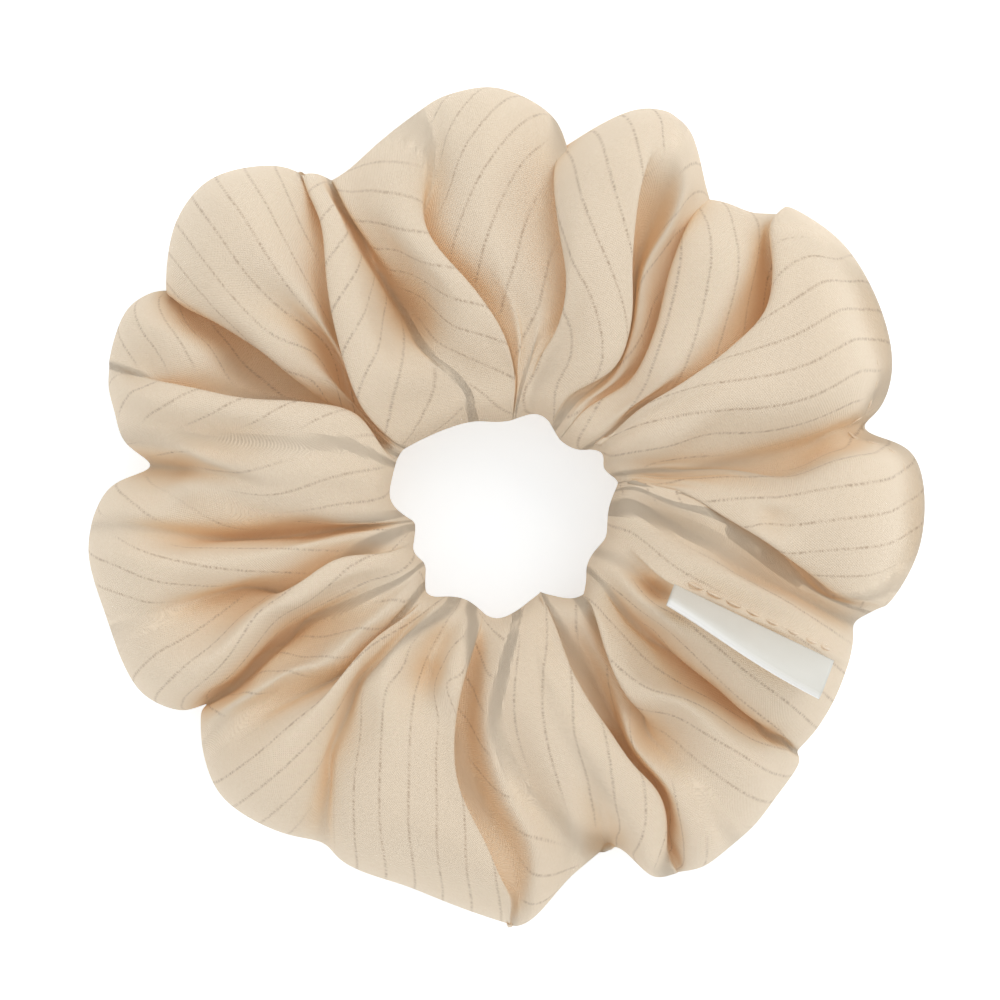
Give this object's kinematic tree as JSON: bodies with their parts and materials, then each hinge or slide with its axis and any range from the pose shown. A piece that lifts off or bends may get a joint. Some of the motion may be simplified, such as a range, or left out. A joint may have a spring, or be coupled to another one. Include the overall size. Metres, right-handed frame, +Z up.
{
  "type": "scrunchie",
  "caption": "Gathered fabric scrunchie: a puffy cloth tube sewn into a ring round a flat elastic band, with a folded ribbon label in the closing seam.",
  "frame": {"origin": "on the surface the scrunchie lies on, under the middle of its hair opening", "axes": "+Z up through the hair opening, +X to the right, +Y away, with the label near -25 degrees from +X"},
  "size_m": [0.1201, 0.1208, 0.0346],
  "materials": {
    "cover_fabric": "cream crinkled woven cloth with thin spaced brown picks",
    "elastic": "braided flat elastic, off white",
    "thread": "matte sewing thread matched to the cloth",
    "label_satin": "plain white woven satin ribbon"
  },
  "bodies": {
    "scrunchie_ring": {"cover": "cover_fabric", "elastic_band": "elastic", "elastic_join_stitches": "thread", "long_seam_stitches": "thread", "closing_stitches": "thread", "cross_seam_stitches": "thread"},
    "label_flap": {"label": "label_satin"}
  },
  "joints": [
    {"name": "label_fold", "type": "hinge", "parent": "scrunchie_ring", "child": "label_flap", "pos_m": [0.0352, -0.0164, 0.028], "axis": [-0.9026, 0.4305, 0], "range_deg": [-35, 85], "stiffness_Nm_per_rad": 0.0004}
  ]
}
